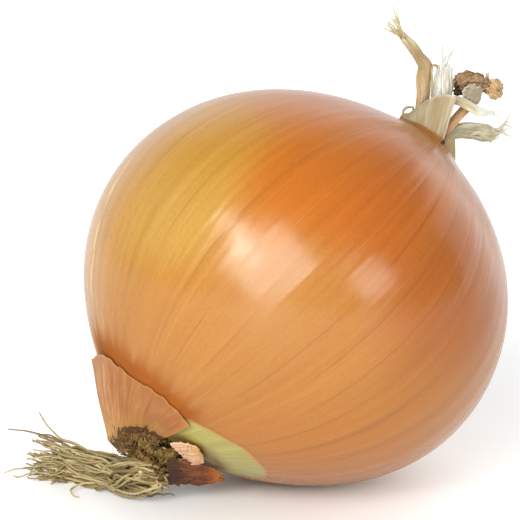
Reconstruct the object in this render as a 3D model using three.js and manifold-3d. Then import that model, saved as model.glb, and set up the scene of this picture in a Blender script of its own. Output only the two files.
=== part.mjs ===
// A cured brown onion lying on its belly and leaning on its root end.
// Millimetres, +Z up. The origin is the centre of the small flat spot that the bulb rests on.
import * as THREE from "three";
import { mergeVertices } from "three/addons/utils/BufferGeometryUtils.js";
import Module from "manifold-3d";

const wasm = await Module();
wasm.setup();

// ---- driving dimensions ----

const bulbRadius = 37.5;
const bulbCentre = new THREE.Vector3(-4.65, -2.97, 35.95);
const neckPitch = THREE.MathUtils.degToRad(40); // the neck end points up by this much
const neckYaw = THREE.MathUtils.degToRad(24.65); // and swings back by this much
const bulbRings = 32;
const bulbSegments = 44;

// The outline of the bulb, as shares of its radius; psi runs from 0 at the neck to pi at the roots.
const outlineTerms = [0.0675, -0.0693, 0.0072, -0.0043]; // cosines of psi, 2 psi, 3 psi and 4 psi
const lean = { share: -0.0357, turn: THREE.MathUtils.degToRad(25.4) };
const neckSwell = { share: 0.0406, width: 0.5, power: 2 };
const rootSwell = { share: 0.1555, width: 0.6, power: 2 };
const neckStub = { share: 0.07, width: 0.16, power: 2, upper: 0.28 }; // wider by upper on its upper side

const gap = 0.3; // between pieces that touch
const weld = 0.001; // vertices closer than this are one
const skin = 0.6; // thickness of the papery skins and leaves

const plate = { // basal plate, a low corky dome; rise, side and along are measured from the root pole
  radius: 8, height: 6.3, rise: -3.4, side: 1.2, along: 0.5, rough: 0.3,
};
const crown = { // the pad under the plate that every root springs from
  riseRadius: 3, sideRadius: 4.6, alongRadius: 1.9, rise: -4.6, side: 0, along: -4.7,
};
const root = { // heading in degrees from +X; the mat narrows by fan from its near to its far edge
  radius: 0.4, sides: 4, steps: 7, length: 26.5, heading: 151, fan: -7, halfWidth: 3.5,
};
const mat = { lanes: 5, layers: 6, back: 0.25, height: 6, endHeight: 11 };

// ---- helpers ----

function seeded(seed) {
  let state = seed;
  return () => {
    state = (state * 1664525 + 1013904223) % 4294967296;
    return state / 4294967296;
  };
}

function swell({ share, width, power }, distance) {
  return share * Math.exp(-((distance / width) ** power));
}

// Distance from the bulb's centre to its skin; theta is 0 on the upper side and 90 degrees in front.
function bulbReach(psi, theta) {
  const cosines = outlineTerms.reduce((sum, term, i) => sum + term * Math.cos((i + 1) * psi), 0);
  const sideways = lean.share * Math.sin(2 * psi) * Math.cos(theta + lean.turn);
  const stub = swell(neckStub, psi / (1 + neckStub.upper * Math.cos(theta)));
  const ends = swell(neckSwell, psi) + stub + swell(rootSwell, Math.PI - psi);
  return bulbRadius * (1 + cosines + sideways + ends);
}

// A point over the bulb's skin, in the bulb's own frame: X rises, Y comes forward, Z runs to the neck.
function overBulb(psiDegrees, thetaDegrees, lift) {
  const psi = THREE.MathUtils.degToRad(psiDegrees);
  const theta = THREE.MathUtils.degToRad(thetaDegrees);
  const reach = bulbReach(psi, theta) + lift;
  const across = reach * Math.sin(psi);
  return new THREE.Vector3(across * Math.cos(theta), across * Math.sin(theta), reach * Math.cos(psi));
}

const neckHeight = bulbReach(0, 0) - bulbRadius * neckStub.share;
const rootDepth = bulbReach(Math.PI, 0);

// Points in the bulb's frame, measured from the neck pole or the root pole.
const fromNeck = (along, rise, side) => new THREE.Vector3(rise, side, neckHeight + along);
const fromRoot = (along, rise, side) => new THREE.Vector3(rise, side, along - rootDepth);

function asSolid(geometry) {
  const bare = geometry.clone();
  bare.deleteAttribute("normal");
  bare.deleteAttribute("uv");
  const merged = mergeVertices(bare, weld);
  return new wasm.Manifold(new wasm.Mesh({
    numProp: 3,
    vertProperties: new Float32Array(merged.attributes.position.array),
    triVerts: new Uint32Array(merged.index.array),
  }));
}

function asGeometry(solid) {
  const { vertProperties, triVerts } = solid.getMesh();
  const geometry = new THREE.BufferGeometry();
  geometry.setAttribute("position", new THREE.BufferAttribute(vertProperties, 3));
  geometry.setIndex(new THREE.BufferAttribute(triVerts, 1));
  return geometry;
}

const join = (solids) => solids.reduce((whole, next) => whole.add(next));

// The largest closed skin of a solid alone, before and after its vertices are welded: no sealed
// hollow and no loose scrap stays in it.
function outerSkin(solid) {
  const largest = (whole) => whole.decompose()
    .reduce((best, next) => (next.volume() > best.volume() ? next : best));
  return largest(asSolid(asGeometry(largest(solid))));
}

// A value that changes evenly from one entry of a list to the next as s goes from 0 to 1.
function graded(values, s) {
  const place = THREE.MathUtils.clamp(s, 0, 1) * (values.length - 1);
  const low = Math.min(Math.floor(place), values.length - 2);
  return THREE.MathUtils.lerp(values[low], values[low + 1], place - low);
}

// A thin closed sheet about the surface middle(s, t), with the same triangles on both faces.
function sheet(middle, alongSteps, acrossSteps, thickness = skin) {
  const columns = acrossSteps + 1;
  const faceSize = (alongSteps + 1) * columns;
  const positions = [];
  for (const offset of [thickness / 2, -thickness / 2]) {
    for (let i = 0; i <= alongSteps; i++) {
      for (let j = 0; j <= acrossSteps; j++) {
        const s = i / alongSteps;
        const t = j / acrossSteps;
        const nudge = 0.01;
        const alongDirection = middle(s + nudge, t).sub(middle(s - nudge, t));
        const acrossDirection = middle(s, t + nudge).sub(middle(s, t - nudge));
        const normal = alongDirection.cross(acrossDirection).normalize();
        positions.push(...middle(s, t).addScaledVector(normal, offset).toArray());
      }
    }
  }
  const indices = [];
  const quad = (a, b, c, d) => indices.push(a, b, c, a, c, d);
  for (let i = 0; i < alongSteps; i++) {
    for (let j = 0; j < acrossSteps; j++) {
      const a = i * columns + j;
      const [b, c, d] = [a + columns, a + columns + 1, a + 1];
      quad(a, b, c, d);
      indices.push(a + faceSize, c + faceSize, b + faceSize, a + faceSize, d + faceSize, c + faceSize);
    }
  }
  const wall = (a, b) => quad(a, b, b + faceSize, a + faceSize);
  for (let i = 0; i < alongSteps; i++) {
    wall((i + 1) * columns, i * columns);
    wall(i * columns + acrossSteps, (i + 1) * columns + acrossSteps);
  }
  for (let j = 0; j < acrossSteps; j++) {
    wall(j, j + 1);
    wall(alongSteps * columns + j + 1, alongSteps * columns + j);
  }
  const geometry = new THREE.BufferGeometry();
  geometry.setAttribute("position", new THREE.Float32BufferAttribute(positions, 3));
  geometry.setIndex(indices);
  return geometry;
}

const facingFront = new THREE.Vector3(0, 1, 0);

// A leaf blade along a spine, facing front: widths in mm, curls in degrees round its own long axis.
// reach(t) shortens it across its width, which leaves a torn end.
function blade({ spine, widths, curls, reach = () => 1, steps = 10, across = 4 }) {
  const curve = new THREE.CatmullRomCurve3(spine);
  const middle = (s, t) => {
    const place = THREE.MathUtils.clamp(s * reach(t), 0, 1);
    const tangent = curve.getTangent(place);
    const sideways = new THREE.Vector3().crossVectors(tangent, facingFront).normalize();
    const outward = new THREE.Vector3().crossVectors(sideways, tangent);
    const curl = THREE.MathUtils.degToRad(Math.max(graded(curls, place), 1));
    const radius = graded(widths, place) / curl;
    const angle = curl * (t - 0.5);
    const point = curve.getPoint(place).addScaledVector(tangent, (s * reach(t) - place));
    return point
      .addScaledVector(sideways, radius * Math.sin(angle))
      .addScaledVector(outward, radius * (Math.cos(angle) - 1));
  };
  return sheet(middle, steps, across);
}

// A round strand along a smooth path.
function strand(path, radius, sides = root.sides, steps = root.steps) {
  const corner = (i) => (2 * Math.PI * i) / sides;
  const section = new THREE.Shape(
    Array.from({ length: sides }, (_, i) => new THREE.Vector2(Math.cos(corner(i)), Math.sin(corner(i)))
      .multiplyScalar(radius)));
  const extrudePath = new THREE.CatmullRomCurve3(path);
  return new THREE.ExtrudeGeometry(section, { steps, extrudePath, bevelEnabled: false });
}

function piece(name, geometry, colour, roughness) {
  const smooth = geometry.clone();
  smooth.computeVertexNormals();
  const mesh = new THREE.Mesh(smooth, new THREE.MeshStandardMaterial({ color: colour, roughness }));
  mesh.name = name;
  return mesh;
}

// ---- frames ----

const bulbFrame = new THREE.Group();
const toNeck = new THREE.Vector3(
  Math.cos(neckPitch) * Math.cos(neckYaw), Math.cos(neckPitch) * Math.sin(neckYaw), Math.sin(neckPitch));
const upward = new THREE.Vector3(
  -Math.sin(neckPitch) * Math.cos(neckYaw), -Math.sin(neckPitch) * Math.sin(neckYaw), Math.cos(neckPitch));
const forward = new THREE.Vector3().crossVectors(toNeck, upward);
bulbFrame.setRotationFromMatrix(new THREE.Matrix4().makeBasis(upward, forward, toNeck));
bulbFrame.position.copy(bulbCentre);
bulbFrame.updateMatrix();

// ---- bulb ----

// The whole bulb, grown outwards by lift. Its rings crowd together at the neck and at the roots.
function bulbGeometry(lift) {
  const crowding = 0.35;
  const geometry = new THREE.SphereGeometry(1, bulbSegments, bulbRings).rotateX(Math.PI / 2);
  const position = geometry.attributes.position;
  const direction = new THREE.Vector3();
  for (let i = 0; i < position.count; i++) {
    direction.fromBufferAttribute(position, i);
    const even = Math.acos(THREE.MathUtils.clamp(direction.z, -1, 1));
    const psi = even - crowding * Math.sin(2 * even);
    const theta = Math.atan2(direction.y, direction.x);
    const reach = bulbReach(psi, theta) + lift;
    position.setXYZ(i, reach * Math.sin(psi) * Math.cos(theta),
      reach * Math.sin(psi) * Math.sin(theta), reach * Math.cos(psi));
  }
  return geometry;
}

function makeBulb() {
  const side = 120;
  const belowFloor = new THREE.BoxGeometry(side, side, side).translate(0, 0, -side / 2)
    .applyMatrix4(bulbFrame.matrix.clone().invert());
  const whole = asSolid(bulbGeometry(0)).subtract(asSolid(belowFloor));
  return piece("bulb", asGeometry(whole), 0xd98c4c, 0.35);
}

// ---- basal plate ----

function plateGeometry(lift) {
  const geometry = new THREE.SphereGeometry(1, 22, 14).rotateX(Math.PI / 2);
  const position = geometry.attributes.position;
  const direction = new THREE.Vector3();
  const centre = fromRoot(plate.along, plate.rise, plate.side);
  for (let i = 0; i < position.count; i++) {
    direction.fromBufferAttribute(position, i);
    const lumps = Math.sin(5 * direction.x + 1) * Math.sin(6 * direction.y)
      + Math.sin(9 * direction.x * direction.y);
    const across = plate.radius + lift + plate.rough * lumps;
    const deep = plate.height + lift + plate.rough * lumps;
    position.setXYZ(i, centre.x + across * direction.x, centre.y + across * direction.y,
      centre.z + deep * direction.z);
  }
  return geometry;
}

function makePlate() {
  const dome = asSolid(plateGeometry(0)).subtract(asSolid(bulbGeometry(gap)));
  return piece("basal_plate", asGeometry(outerSkin(dome)), 0x6b4a2e, 0.95);
}

// ---- roots ----

function makeRoots() {
  const random = seeded(7);
  const spread = (amount) => amount * (2 * random() - 1);
  const onFloor = (point) => point.setZ(Math.max(point.z, root.radius + 0.02));
  const start = fromRoot(crown.along, crown.rise, crown.side).applyMatrix4(bulbFrame.matrix);
  const pad = new THREE.SphereGeometry(1, 16, 10)
    .scale(crown.riseRadius, crown.sideRadius, crown.alongRadius)
    .translate(...fromRoot(crown.along, crown.rise, crown.side).toArray())
    .applyMatrix4(bulbFrame.matrix);
  const solids = [asSolid(pad)];

  // Each root keeps to its own lane and layer of the mat; every third one doubles back first.
  for (let i = 0; i < mat.lanes * mat.layers; i++) {
    const lane = (2 * ((i % mat.lanes) + 0.5 + spread(0.25))) / mat.lanes - 1;
    const layer = (Math.floor(i / mat.lanes) + 0.5 + spread(0.25)) / mat.layers;
    const bearing = THREE.MathUtils.degToRad(root.heading + lane * root.fan);
    const ahead = new THREE.Vector3(Math.cos(bearing), Math.sin(bearing), 0);
    const nearer = new THREE.Vector3(-ahead.y, ahead.x, 0);
    const length = root.length * (0.8 + 0.2 * random());
    const at = (distance, offset, height) => onFloor(start.clone().addScaledVector(ahead, distance)
      .addScaledVector(nearer, offset * root.halfWidth).setZ(height + root.radius));
    const path = [at(0, 0.8 * lane, start.z - 0.8 + 1.2 * layer)];
    if (i % 3 === 0) {
      path.push(at(-5 - 1.5 * random(), 0.5 * lane, 1.6 + 2.4 * layer));
      path.push(at(-3.4, 0.5 * lane + 0.5, 1.1 + 2 * layer));
    } else {
      path.push(at(4, 0.95 * lane - 0.5 * mat.back, 1.6 + 4 * layer));
    }
    path.push(at(0.38 * length, lane - mat.back, mat.height * layer));
    path.push(at(0.7 * length, 0.8 * lane - mat.back, 1.1 * mat.height * layer));
    path.push(at(length, 0.6 * lane + spread(0.4), mat.endHeight * layer * Math.sqrt(random())));
    solids.push(asSolid(strand(path, root.radius * (0.85 + 0.3 * random()))));
  }

  // Single roots that stray from the mat.
  const strays = [
    [[-38, -11, 6], [-45, -7, 7.6], [-48.5, -6, 8.6], [-50, -6, 11.2], [-52, -6, 13.4]],
    [[-38, -11, 5], [-44, -7.5, 6.8], [-49, -5.5, 8.4], [-54, -4.6, 9.7], [-58.2, -4, 9.5]],
    [[-38, -12, 2], [-45, -8.5, 2.6], [-51, -5, 2.8], [-56, -3, 1.4], [-59, -2, 0.5]],
    [[-38, -12, 1], [-45, -8.5, 1.2], [-52, -6, 1.6], [-55, -5, 1], [-57.3, -3.3, 0.5]],
    [[-38, -13, 2], [-44, -9, 2.4], [-47, -8, 2], [-49.8, -8.6, 0.5]],
    [[-36, -14, 2], [-41, -11, 1.6], [-45.4, -12.4, 0.6], [-45.4, -15.4, 0.5], [-43.4, -16.6, 0.5]],
    [[-34, -15, 2], [-36, -14, 0.6], [-33, -14.6, 0.6], [-31.6, -16.9, 0.5]],
    [[-33, -15, 2], [-32, -15.4, 0.6], [-29, -15.8, 0.6], [-25.9, -16.8, 0.5]],
  ];
  for (const stray of strays) {
    const path = [start.clone(), ...stray.map((point) => onFloor(new THREE.Vector3(...point)))];
    solids.push(asSolid(strand(path, root.radius * 0.85)));
  }
  const nearPlate = plateGeometry(gap).applyMatrix4(bulbFrame.matrix);
  const bunch = join(solids).subtract(asSolid(nearPlate));
  return piece("roots", asGeometry(outerSkin(bunch)), 0xb9a377, 0.8);
}

// ---- torn skins at the root end ----

// A fan of the outermost skin, held at the plate and standing off the bulb at its upper corner.
function makeFlap() {
  const from = -42;
  const to = 77;
  const baseAcross = [4.8, 4.3, 4.4, 5.6, 7, 9];
  const baseAlong = [-5.7, -5.5, -4.6, -2.3, -0.4, 0.5];
  const edgePsi = [155.5, 153.4, 152.8, 151.7, 152.8, 153, 151.8, 151.4, 152.4];
  const edgeLift = [1.6, 1.5, 1.4, 1.2, 1, 0.9, 0.8, 0.8];
  const middle = (s, t) => {
    const turn = THREE.MathUtils.lerp(from, to, t);
    const theta = THREE.MathUtils.degToRad(turn);
    const across = graded(baseAcross, t);
    const base = fromRoot(graded(baseAlong, t), across * Math.cos(theta), across * Math.sin(theta));
    const edge = overBulb(graded(edgePsi, t), turn, graded(edgeLift, t));
    const bow = graded([-0.1, 0.5, 0.5, 0.5], t) * Math.sin(Math.PI * THREE.MathUtils.clamp(s, 0, 1));
    const point = base.lerp(edge, s);
    return point.addScaledVector(point.clone().normalize(), bow);
  };
  return piece("skin_flap", sheet(middle, 7, 20), 0xdba37c, 0.6);
}

// A scrap of skin over the bulb between four corners, each given as psi, theta and lift.
function scrap(name, [nearTop, nearBottom, farTop, farBottom], colour) {
  const middle = (s, t) => {
    const near = (k) => THREE.MathUtils.lerp(nearTop[k], nearBottom[k], t);
    const far = (k) => THREE.MathUtils.lerp(farTop[k], farBottom[k], t);
    const mix = (k) => THREE.MathUtils.lerp(near(k), far(k), s);
    return overBulb(mix(0), mix(1), mix(2));
  };
  return piece(name, sheet(middle, 5, 5), colour, 0.6);
}

// ---- dried leaves at the neck ----

const neckPath = (points) => points.map((point) => fromNeck(...point));

// A sheet between two curves, bowed outwards from the middle of the neck.
function wrapped(basePoints, topPoints, bow, alongSteps, acrossSteps) {
  const base = new THREE.CatmullRomCurve3(neckPath(basePoints));
  const top = new THREE.CatmullRomCurve3(neckPath(topPoints));
  const middle = (s, t) => {
    const place = THREE.MathUtils.clamp(t, 0, 1);
    const point = base.getPoint(place).lerp(top.getPoint(place), s);
    point.addScaledVector(top.getTangent(place), (t - place) * top.getLength());
    const outward = new THREE.Vector3(point.x, point.y, 0).normalize();
    return point.addScaledVector(outward, bow * Math.sin(Math.PI * THREE.MathUtils.clamp(s, 0, 1)));
  };
  return sheet(middle, alongSteps, acrossSteps);
}

// Points round the neck are [along, rise, side] from the neck pole.
function makeCollar() {
  const base = [
    [0.3, 6.2, -4.8], [-0.2, 8.2, -2], [0.2, 7.9, 1], [0.6, 6.8, 3.4], [1, 4.9, 5], [1.5, 2.8, 5.8],
  ];
  const top = [
    [1.2, 6.4, -4.8], [0.8, 8.2, -3], [1.8, 8.3, -1.2], [5.6, 8.5, 0.5], [8.2, 7.7, 2.3], [9.3, 6.3, 3.8],
  ];
  return piece("neck_collar", wrapped(base, top, 0.3, 5, 14), 0xd9c69a, 0.7);
}

function makeWrap() {
  const base = [[2, 1.6, 4.2], [1.8, -0.4, 4.4], [1.7, -2.6, 3.5], [1.6, -4, 1.8], [1.6, -4.2, -0.3]];
  const top = [[3.6, 1.2, 2.7], [4.3, 0.3, 2.3], [4.7, -0.7, 1.5], [4.3, -1.6, 0.9], [3.9, -2.3, 0]];
  return piece("neck_wrap", wrapped(base, top, 0.1, 4, 8), 0xc9b48a, 0.7);
}

function makeStem() {
  const path = neckPath([[3.3, 0.5, -0.6], [5.9, 0.7, -0.7], [9.5, 0.9, -0.7], [12.7, 1, -0.6]]);
  return piece("neck_stem", strand(path, 0.95, 10, 5), 0xcf8b58, 0.55);
}

function frayed(name, leaf, frays, colour) {
  const whole = join([leaf, ...frays.map((path) => strand(neckPath(path), 0.32, 4, 4))].map(asSolid));
  return piece(name, asGeometry(outerSkin(whole)), colour, 0.75);
}

function makeLeftLeaf() {
  const spine = neckPath([
    [2, 4.8, -1.2], [3.9, 6.6, -1.5], [6.3, 9.3, -1.2], [8.3, 12.2, -0.5], [9, 15, 0.2], [8.9, 17.9, 0.7],
    [8.6, 20.2, 0.8], [8.6, 22, 0.8],
  ]);
  const leaf = blade({
    spine, widths: [1.8, 2.4, 2.6, 2.5, 2.3, 2.1, 1.7, 1.4], curls: [70, 80, 60, 50, 40],
    steps: 12,
  });
  const frays = [
    [[8.5, 21.2, 0.8], [8.1, 24, 0.6], [6.7, 26.4, 0.3]],
    [[8.7, 21, 0.8], [9.6, 24.2, 1], [10.8, 27.3, 1]],
    [[8.4, 20.6, 0.8], [7.9, 21.9, 0.6], [6.8, 22.7, 0.3]],
  ];
  return frayed("neck_leaf_left", leaf, frays, 0xd2bf8c);
}

function makeMiddleLeaf() {
  const spine = neckPath([
    [2.8, 1.9, -2.3], [5.4, 2.2, -2.3], [8.1, 4.1, -2.5], [10.4, 6.2, -2.7], [12.3, 8, -2.7],
    [14.1, 10, -2.7],
  ]);
  const leaf = blade({
    spine, widths: [2, 3.4, 4.3, 4.5, 4, 3], curls: [70, 60, 50, 40, 30],
    reach: (t) => 0.93 + 0.07 * Math.cos(17 * t), steps: 9,
  });
  const frays = [
    [[11.9, 8, -2.7], [13.7, 9.8, -2.7], [15.4, 11.4, -2.6]],
    [[11.3, 8.2, -2.7], [13.5, 11.4, -2.5], [16.1, 14.5, -2.3]],
    [[10.9, 8.4, -2.7], [12.2, 10.6, -2.5], [11.2, 11.5, -2.3]],
  ];
  return frayed("neck_leaf_middle", leaf, frays, 0xe9e6dc);
}

function makeUpperStrip() {
  const spine = neckPath([
    [7.4, 5.6, 1.6], [9.3, 4.8, 2], [10.4, 2.6, 2.5], [11.1, 0.5, 2.7], [12.2, -1.2, 2.5], [13.7, -2.8, 2],
  ]);
  const leaf = blade({
    spine, widths: [1.5, 1.3, 1.3, 1.4, 1.3, 0.7], curls: [40, 30, 30], steps: 9, across: 3,
  });
  return piece("neck_strip_upper", leaf, 0xe2dcc6, 0.7);
}

function makeLowerStrip() {
  const spine = neckPath([
    [3.1, -1.9, -2.1], [5, -1.4, -1.9], [7.6, -2.4, -1.6], [9.4, -4.1, -1.3], [11, -6.1, -1.1],
    [12.4, -7.6, -1], [13.9, -8.1, -0.9],
  ]);
  const leaf = blade({
    spine, widths: [1.4, 2.4, 3.2, 3.4, 4, 3, 1.4], curls: [70, 60, 50, 50, 40],
    reach: (t) => 0.95 + 0.05 * Math.cos(11 * t),
  });
  const frays = [
    [[13, -7.2, -0.9], [15.7, -7.2, -0.8], [18.9, -5.9, -0.6]],
    [[12.6, -8, -0.9], [14.3, -8.7, -0.9], [16.2, -9.3, -0.8]],
  ];
  return frayed("neck_strip_lower", leaf, frays, 0xdfe0d0);
}

// The shrivelled end of the inner leaf: a crumpled sheath, pinched before its flared end.
function makeTip() {
  const curve = new THREE.CatmullRomCurve3(neckPath([
    [12, 5.3, -0.8], [14.1, 3.9, -0.9], [16.1, 1.2, -0.9], [17.6, -0.5, -0.9], [18.6, -1.4, -0.9],
  ]));
  const radii = [1.8, 1.8, 1.6, 1.2, 1.8, 2.2];
  const flatness = 0.75;
  const wrapDegrees = 300;
  const middle = (s, t) => {
    const place = THREE.MathUtils.clamp(s, 0, 1);
    const tangent = curve.getTangent(place);
    const sideways = new THREE.Vector3().crossVectors(tangent, facingFront).normalize();
    const outward = new THREE.Vector3().crossVectors(sideways, tangent);
    const angle = THREE.MathUtils.degToRad(wrapDegrees * (t - 0.5));
    const folds = 0.2 * Math.sin(7 * angle + 4 * s);
    const radius = graded(radii, place) * (1 + 0.1 * Math.sin(3 * angle)) + folds;
    const scallop = 0.5 * Math.sin(6 * angle) * (s - 0.3);
    return curve.getPoint(place).addScaledVector(tangent, (s - place) * 8 + scallop)
      .addScaledVector(sideways, radius * Math.sin(angle))
      .addScaledVector(outward, radius * Math.cos(angle) * flatness);
  };
  return piece("neck_tip", sheet(middle, 7, 22), 0xb27a4c, 0.85);
}

// A pale papery scrap that clings to the front of the shrivelled end.
function makeTipScrap() {
  const base = [[11.4, 3.6, 1.7], [11.4, 2.4, 1.8], [12.6, 0.7, 1.6]];
  const top = [[13.2, 4.2, 1.5], [14.6, 3.3, 1.6], [15, 1.2, 1.5]];
  return piece("neck_scrap_grey", wrapped(base, top, 0.25, 4, 5), 0xb9b0a2, 0.8);
}

// ---- the onion ----

const onion = new THREE.Group();
onion.add(bulbFrame, makeRoots());
const paleCorners = [[161.8, 87, 0.8], [162.3, 121, 0.9], [156, 96, 0.8], [159, 118, 0.8]];
const redCorners = [[161.6, 127, 0.9], [159.6, 165, 1.8], [155.5, 150, 0.8], [154, 164, 1]];
bulbFrame.add(
  makeBulb(),
  makePlate(),
  makeFlap(),
  scrap("skin_scrap_pale", paleCorners, 0xe9c3b0),
  scrap("skin_scrap_red", redCorners, 0xa04e2c),
  makeCollar(),
  makeWrap(),
  makeStem(),
  makeLeftLeaf(),
  makeMiddleLeaf(),
  makeUpperStrip(),
  makeLowerStrip(),
  makeTip(),
  makeTipScrap(),
);

export default onion;
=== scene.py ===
import bpy
import numpy as np
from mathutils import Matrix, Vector
from numpy import clip, concatenate, cos, degrees, linspace, maximum, minimum, pi, radians, sin, stack
from numpy.linalg import norm


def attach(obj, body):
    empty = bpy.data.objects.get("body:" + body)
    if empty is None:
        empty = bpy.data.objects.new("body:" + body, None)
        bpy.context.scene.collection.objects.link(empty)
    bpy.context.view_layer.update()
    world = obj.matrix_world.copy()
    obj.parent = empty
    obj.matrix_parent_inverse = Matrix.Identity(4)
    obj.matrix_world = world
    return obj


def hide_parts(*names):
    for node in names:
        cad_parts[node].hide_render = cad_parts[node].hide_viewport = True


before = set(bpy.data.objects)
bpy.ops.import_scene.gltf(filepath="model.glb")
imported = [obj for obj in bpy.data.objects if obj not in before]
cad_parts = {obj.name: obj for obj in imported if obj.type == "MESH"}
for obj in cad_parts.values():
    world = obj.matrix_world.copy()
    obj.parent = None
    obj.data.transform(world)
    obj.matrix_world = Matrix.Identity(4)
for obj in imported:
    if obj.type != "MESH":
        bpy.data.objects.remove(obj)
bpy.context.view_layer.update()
mm = 0.001


# the bulb's own frame: its axes rise, point aside and point to the neck, and lengths are in mm

pose = {"neckPitch": 40, "neckYaw": 24.65, "centre": (-4.65, -2.97, 35.95), "radius": 37.5}
pitch, yaw = radians(pose["neckPitch"]), radians(pose["neckYaw"])
toNeck = np.array([cos(pitch) * cos(yaw), cos(pitch) * sin(yaw), sin(pitch)])
rise = np.array([-sin(pitch) * cos(yaw), -sin(pitch) * sin(yaw), cos(pitch)])
axes = stack([rise, np.cross(toNeck, rise), toNeck])
centre = np.array(pose["centre"])
outline = {
    "cosines": (0.0675, -0.0693, 0.0072, -0.0043), "lean": -0.0357, "leanTurn": 25.4,
    "neckSwell": (0.0406, 0.5), "rootSwell": (0.1555, 0.6), "stub": (0.07, 0.16), "stubSkew": 0.28,
}


def gauss(share, width, distance):
    return share * np.exp(-(distance / width) ** 2)


def bulbReach(psi, theta):
    # distance from the centre to the skin: a cosine series in psi, a sideways lean and three swellings
    cosines = sum(c * cos((i + 1) * psi) for i, c in enumerate(outline["cosines"]))
    lean = outline["lean"] * sin(2 * psi) * cos(theta + radians(outline["leanTurn"]))
    stub = gauss(*outline["stub"], psi / (1 + outline["stubSkew"] * cos(theta)))
    ends = gauss(*outline["neckSwell"], psi) + stub + gauss(*outline["rootSwell"], pi - psi)
    return pose["radius"] * (1 + cosines + lean + ends)


neckHeight = float(bulbReach(np.array(0), 0)) - outline["stub"][0] * pose["radius"]
rootDepth = float(bulbReach(np.array(pi), 0))


def overBulb(psi, theta, lift):
    # a point lift mm over the skin at psi from the neck and theta round from the upper side, in radians
    reach = bulbReach(psi, theta) + lift
    across = reach * sin(psi)
    return stack([across * cos(theta), across * sin(theta), reach * cos(psi)], axis=-1)


def toWorld(local):
    return local @ axes + centre


def fromNeck(points, pole=neckHeight):
    # points given as [along, rise, side] from the neck pole
    points = np.asarray(points, float)
    return stack([points[..., 1], points[..., 2], pole + points[..., 0]], axis=-1)


def fromRoot(points):
    return fromNeck(points, -rootDepth)


# shapes

def graded(values, s):
    # straight-line change through a list of values as s goes from 0 to 1
    return np.interp(s, linspace(0, 1, len(values)), values)


def smoothStep(low, high, x):
    t = clip((x - low) / (high - low), 0, 1)   # low may be the larger
    return t * t * (3 - 2 * t)


def ripple(x, y, seed, lowest=1, highest=3, count=9):
    # smooth and random, about -1 to 1: sines with seeded directions, paces and phases
    rng = np.random.default_rng(seed)
    x, y = np.broadcast_arrays(x, y)
    total = np.zeros(x.shape)
    turns, phases = rng.uniform(0, 2 * pi, (2, count))
    for turn, phase, pace in zip(turns, phases, rng.uniform(lowest, highest, count)):
        total += sin(pace * (x * cos(turn) + y * sin(turn)) + phase)
    return total / np.sqrt(count)


def ragged(t, seed, depth, pace=30):
    # how far a torn edge falls short, 0 to depth, along t
    rng = np.random.default_rng(seed)
    saw = sum(np.abs(((t * pace * k + rng.uniform()) % 1) - 0.5) / k for k in (1, 2.3, 5.1))
    return depth * clip(saw / 0.8, 0, 1)


def smoothPath(points, place):
    # a centripetal spline through the points, each span an equal share of place, from 0 to 1
    points = np.asarray(points, float)
    padded = concatenate([[2 * points[0] - points[1]], points, [2 * points[-1] - points[-2]]])
    spans = len(points) - 1
    place = clip(place, 0, 1) * spans
    first = minimum(place.astype(int), spans - 1)
    w = (place - first)[..., None]
    p0, p1, p2, p3 = (padded[first + k] for k in range(4))
    step = [maximum(norm(b - a, axis=-1, keepdims=True), 1e-6) ** 0.5
            for a, b in ((p0, p1), (p1, p2), (p2, p3))]
    m1 = ((p1 - p0) / step[0] - (p2 - p0) / (step[0] + step[1]) + (p2 - p1) / step[1]) * step[1]
    m2 = ((p2 - p1) / step[1] - (p3 - p1) / (step[1] + step[2]) + (p3 - p2) / step[2]) * step[1]
    return p1 + m1 * w + (3 * (p2 - p1) - 2 * m1 - m2) * w ** 2 + (2 * (p1 - p2) + m1 + m2) * w ** 3


def unit(vectors):
    return vectors / maximum(norm(vectors, axis=-1, keepdims=True), 1e-9)


def spread(rows, columns, low=0):
    # s runs from low to 1 over the rows and t from 0 to 1 over the columns
    return np.meshgrid(linspace(low, 1, rows), linspace(0, 1, columns), indexing="ij")


def pathFrames(points, place, facing):
    # the point, the tangent, the way across and the way out along a path that faces one way
    small = 0.004
    tangent = unit(smoothPath(points, minimum(place + small, 1)) - smoothPath(points, maximum(place - small, 0)))
    across = unit(np.cross(tangent, facing))
    return smoothPath(points, place), tangent, across, np.cross(across, tangent)


def gridFaces(rows, columns, wrapped=False):
    i, j = np.meshgrid(np.arange(rows - 1), np.arange(columns if wrapped else columns - 1), indexing="ij")
    k = (j + 1) % columns
    down = i + 1
    return stack([i * columns + j, down * columns + j, down * columns + k, i * columns + k], axis=-1).reshape(-1, 4)


def meshFrom(name, points, faceGroups, values=None, uv=None):
    # world points in mm; each group of faces has one number of corners; values are named point attributes
    mesh = bpy.data.meshes.new(name)
    faces = [face for group in faceGroups for face in group.tolist()]
    mesh.from_pydata((points * mm).tolist(), [], faces, shade_flat=False)
    if uv is not None:
        mesh.uv_layers.new(name="UVMap").data.foreach_set("uv", uv.astype(np.float32).ravel())
    for key, value in (values or {}).items():
        kind = ("FLOAT_VECTOR", "vector") if value.ndim > 1 and value.shape[-1] == 3 else ("FLOAT", "value")
        mesh.attributes.new(key, kind[0], "POINT").data.foreach_set(kind[1], value.astype(np.float32).ravel())
    made = bpy.data.objects.new(name, mesh)
    bpy.context.scene.collection.objects.link(made)
    return made


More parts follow.
